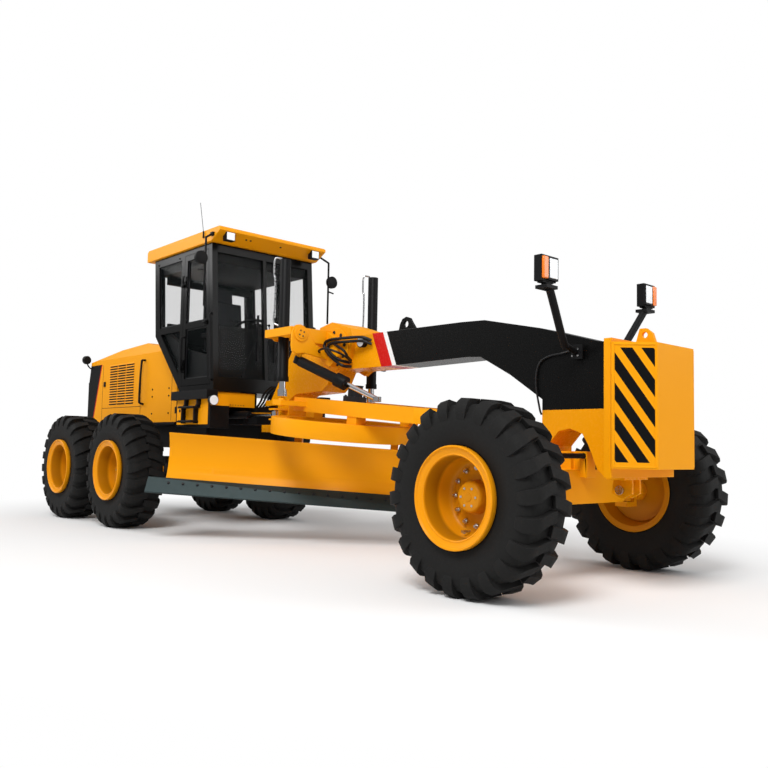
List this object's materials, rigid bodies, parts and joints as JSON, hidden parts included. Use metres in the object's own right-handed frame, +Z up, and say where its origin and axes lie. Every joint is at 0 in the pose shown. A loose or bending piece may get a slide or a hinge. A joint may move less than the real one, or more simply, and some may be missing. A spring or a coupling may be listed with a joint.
{
  "type": "motor grader",
  "caption": "Articulated road grader with a long curved blade under an arched front frame, leaning steered front wheels and driven tandem rear wheels.",
  "frame": {"origin": "on the ground, on the centre plane, at mid length", "axes": "+X forward, +Y to the left, +Z up"},
  "size_m": [9.145, 3.0473, 3.7907],
  "materials": {
    "body_yellow": "gloss",
    "rim_yellow": "gloss",
    "frame_black": "satin",
    "cab_black": "gloss",
    "tyre_rubber": "matte",
    "edge_steel": "satin",
    "cast": "satin",
    "window_glass": "clear",
    "seat_fabric": "matte",
    "plastic_black": "matte",
    "rod_chrome": "polished"
  },
  "bodies": {
    "rear_frame": {"rear_frame": "frame_black", "engine_block": "cast", "hood": "body_yellow", "rear_grille": "frame_black", "rear_axle": "cast", "tandem_right": "body_yellow", "tandem_left": "body_yellow", "rear_hitch": "frame_black", "cab_frame": "cab_black", "cab_roof": "body_yellow", "cab_glass": "window_glass", "operator_seat": "seat_fabric", "steering_console": "plastic_black", "step_box_right": "frame_black", "step_box_left": "frame_black", "mirrors": "plastic_black"},
    "door_right": {"cab_door_right": "cab_black", "door_glass_right": "window_glass"},
    "door_left": {"cab_door_left": "cab_black", "door_glass_left": "window_glass"},
    "front_frame": {"gooseneck": "body_yellow", "blade_saddle": "body_yellow", "nose_block": "body_yellow", "lamp_arms": "frame_black", "front_axle": "body_yellow", "drawbar_ball": "cast"},
    "lean_right": {"lean_knuckle_right": "body_yellow"},
    "lean_left": {"lean_knuckle_left": "body_yellow"},
    "steer_right": {"steering_knuckle_right": "body_yellow"},
    "steer_left": {"steering_knuckle_left": "body_yellow"},
    "tie_rod": {"tie_rod": "frame_black"},
    "ball_socket": {"ball_socket": "cast"},
    "drawbar": {"drawbar": "body_yellow"},
    "circle": {"circle": "body_yellow", "circle_arms": "body_yellow"},
    "tip_frame": {"tip_frame": "frame_black"},
    "blade": {"mouldboard": "body_yellow", "cutting_edge": "edge_steel"},
    "lift_barrel_right": {"lift_barrel_right": "frame_black"},
    "lift_barrel_left": {"lift_barrel_left": "frame_black"},
    "lift_rod_right": {"lift_rod_right": "rod_chrome"},
    "lift_rod_left": {"lift_rod_left": "rod_chrome"},
    "shift_barrel": {"shift_barrel": "frame_black"},
    "shift_rod": {"shift_rod": "rod_chrome"},
    "articulation_barrel_right": {"articulation_barrel_right": "frame_black"},
    "articulation_barrel_left": {"articulation_barrel_left": "frame_black"},
    "articulation_rod_right": {"articulation_rod_right": "rod_chrome"},
    "articulation_rod_left": {"articulation_rod_left": "rod_chrome"},
    "wheel_front_right": {"rim_front_right": "rim_yellow", "tyre_front_right": "tyre_rubber"},
    "wheel_front_left": {"rim_front_left": "rim_yellow", "tyre_front_left": "tyre_rubber"},
    "wheel_middle_right": {"rim_middle_right": "rim_yellow", "tyre_middle_right": "tyre_rubber"},
    "wheel_middle_left": {"rim_middle_left": "rim_yellow", "tyre_middle_left": "tyre_rubber"},
    "wheel_rear_right": {"rim_rear_right": "rim_yellow", "tyre_rear_right": "tyre_rubber"},
    "wheel_rear_left": {"rim_rear_left": "rim_yellow", "tyre_rear_left": "tyre_rubber"}
  },
  "joints": [
    {"name": "articulation", "type": "hinge", "parent": "rear_frame", "child": "front_frame", "pos_m": [-0.305, 0, 1.34], "axis": [0, 0, 1], "range_deg": [-25, 25]},
    {"name": "door_right", "type": "hinge", "parent": "rear_frame", "child": "door_right", "pos_m": [-1.29, -0.732, 2.4], "axis": [0, 0, -1], "range_deg": [0, 80]},
    {"name": "door_left", "type": "hinge", "parent": "rear_frame", "child": "door_left", "pos_m": [-1.29, 0.732, 2.4], "axis": [0, 0, 1], "range_deg": [0, 80]},
    {"name": "wheel_middle_right", "type": "hinge", "parent": "rear_frame", "child": "wheel_middle_right", "pos_m": [-1.89575, -1.099, 0.674], "axis": [0, 1, 0], "continuous": true},
    {"name": "wheel_middle_left", "type": "hinge", "parent": "rear_frame", "child": "wheel_middle_left", "pos_m": [-1.89575, 1.099, 0.674], "axis": [0, 1, 0], "continuous": true},
    {"name": "wheel_rear_right", "type": "hinge", "parent": "rear_frame", "child": "wheel_rear_right", "pos_m": [-3.42625, -1.099, 0.674], "axis": [0, 1, 0], "continuous": true},
    {"name": "wheel_rear_left", "type": "hinge", "parent": "rear_frame", "child": "wheel_rear_left", "pos_m": [-3.42625, 1.099, 0.674], "axis": [0, 1, 0], "continuous": true},
    {"name": "wheel_lean", "type": "hinge", "parent": "front_frame", "child": "lean_right", "pos_m": [3.645, -0.64, 0.7], "axis": [1, 0, 0], "range_deg": [-17, 17]},
    {"name": "wheel_lean_left", "type": "hinge", "parent": "front_frame", "child": "lean_left", "pos_m": [3.645, 0.64, 0.7], "axis": [1, 0, 0], "range_deg": [-17, 17]},
    {"name": "steering", "type": "hinge", "parent": "lean_right", "child": "steer_right", "pos_m": [3.645, -0.8, 0.7], "axis": [0, 0, 1], "range_deg": [-45, 45]},
    {"name": "steering_left", "type": "hinge", "parent": "lean_left", "child": "steer_left", "pos_m": [3.645, 0.8, 0.7], "axis": [0, 0, 1], "range_deg": [-45, 45]},
    {"name": "wheel_front_right", "type": "hinge", "parent": "steer_right", "child": "wheel_front_right", "pos_m": [3.645, -1.099, 0.674], "axis": [0, 1, 0], "continuous": true},
    {"name": "wheel_front_left", "type": "hinge", "parent": "steer_left", "child": "wheel_front_left", "pos_m": [3.645, 1.099, 0.674], "axis": [0, 1, 0], "continuous": true},
    {"name": "tie_rod", "type": "slide", "parent": "front_frame", "child": "tie_rod", "axis": [0, 1, 0], "range_m": [-0.14, 0.14]},
    {"name": "drawbar_swing", "type": "hinge", "parent": "front_frame", "child": "ball_socket", "pos_m": [3.245, 0, 1], "axis": [0, 0, 1], "range_deg": [-12, 12]},
    {"name": "drawbar_lift", "type": "hinge", "parent": "ball_socket", "child": "drawbar", "pos_m": [3.245, 0, 1], "axis": [0, 1, 0], "range_deg": [-12.5, 0]},
    {"name": "circle_turn", "type": "hinge", "parent": "drawbar", "child": "circle", "pos_m": [0.945, 0, 1.474], "axis": [0.0872, 0, 0.9962], "continuous": true},
    {"name": "blade_tip", "type": "hinge", "parent": "circle", "child": "tip_frame", "pos_m": [0.62229, 0.24042, 0.85979], "axis": [0.6653, 0.7443, -0.0582], "range_deg": [-5, 40]},
    {"name": "side_shift", "type": "slide", "parent": "tip_frame", "child": "blade", "axis": [-0.6653, -0.7443, 0.0582], "range_m": [-0.775, 0.565]},
    {"name": "lift_barrel_right", "type": "hinge", "parent": "front_frame", "child": "lift_barrel_right", "pos_m": [0.615, -0.6, 2.13], "axis": [1, 0, 0], "range_deg": [-31, 31]},
    {"name": "lift_rod_right", "type": "slide", "parent": "lift_barrel_right", "child": "lift_rod_right", "axis": [0, 0, -1], "range_m": [-0.02, 0.6]},
    {"name": "lift_barrel_left", "type": "hinge", "parent": "front_frame", "child": "lift_barrel_left", "pos_m": [0.615, 0.6, 2.13], "axis": [1, 0, 0], "range_deg": [-31, 31]},
    {"name": "lift_rod_left", "type": "slide", "parent": "lift_barrel_left", "child": "lift_rod_left", "axis": [0, 0, -1], "range_m": [-0.02, 0.6]},
    {"name": "shift_barrel", "type": "hinge", "parent": "front_frame", "child": "shift_barrel", "pos_m": [0.87, -0.6, 1.85], "axis": [0.4138, 0.0717, 0.9075], "range_deg": [-22, 22]},
    {"name": "shift_rod", "type": "slide", "parent": "shift_barrel", "child": "shift_rod", "axis": [0.8459, 0.3404, -0.4106], "range_m": [-0.08, 0.08]},
    {"name": "articulation_barrel_right", "type": "hinge", "parent": "rear_frame", "child": "articulation_barrel_right", "pos_m": [-1.1, -0.41, 1.34], "axis": [0, 0, 1], "range_deg": [-9, 9]},
    {"name": "articulation_rod_right", "type": "slide", "parent": "articulation_barrel_right", "child": "articulation_rod_right", "axis": [0.9955, 0.0944, 0], "range_m": [-0.16, 0.16]},
    {"name": "articulation_barrel_left", "type": "hinge", "parent": "rear_frame", "child": "articulation_barrel_left", "pos_m": [-1.1, 0.41, 1.34], "axis": [0, 0, 1], "range_deg": [-9, 9]},
    {"name": "articulation_rod_left", "type": "slide", "parent": "articulation_barrel_left", "child": "articulation_rod_left", "axis": [0.9955, -0.0944, 0], "range_m": [-0.16, 0.16]}
  ],
  "couplings": [
    {"joint": "wheel_lean_left", "follows": "wheel_lean", "ratio": 1},
    {"joint": "steering_left", "follows": "steering", "ratio": 1},
    {"joint": "tie_rod", "follows": "steering", "m_per_rad": 0.155},
    {"joint": "lift_barrel_right", "follows": "drawbar_swing", "ratio": -2.5},
    {"joint": "lift_barrel_left", "follows": "drawbar_swing", "ratio": -2.5},
    {"joint": "lift_rod_right", "follows": "drawbar_lift", "m_per_rad": -2.6},
    {"joint": "lift_rod_left", "follows": "drawbar_lift", "m_per_rad": -2.6},
    {"joint": "shift_barrel", "follows": "drawbar_swing", "ratio": -1.6},
    {"joint": "shift_rod", "follows": "drawbar_swing", "m_per_rad": -0.277},
    {"joint": "articulation_barrel_right", "follows": "articulation", "ratio": 0.27},
    {"joint": "articulation_barrel_left", "follows": "articulation", "ratio": 0.27},
    {"joint": "articulation_rod_right", "follows": "articulation", "m_per_rad": 0.33},
    {"joint": "articulation_rod_left", "follows": "articulation", "m_per_rad": -0.33}
  ]
}
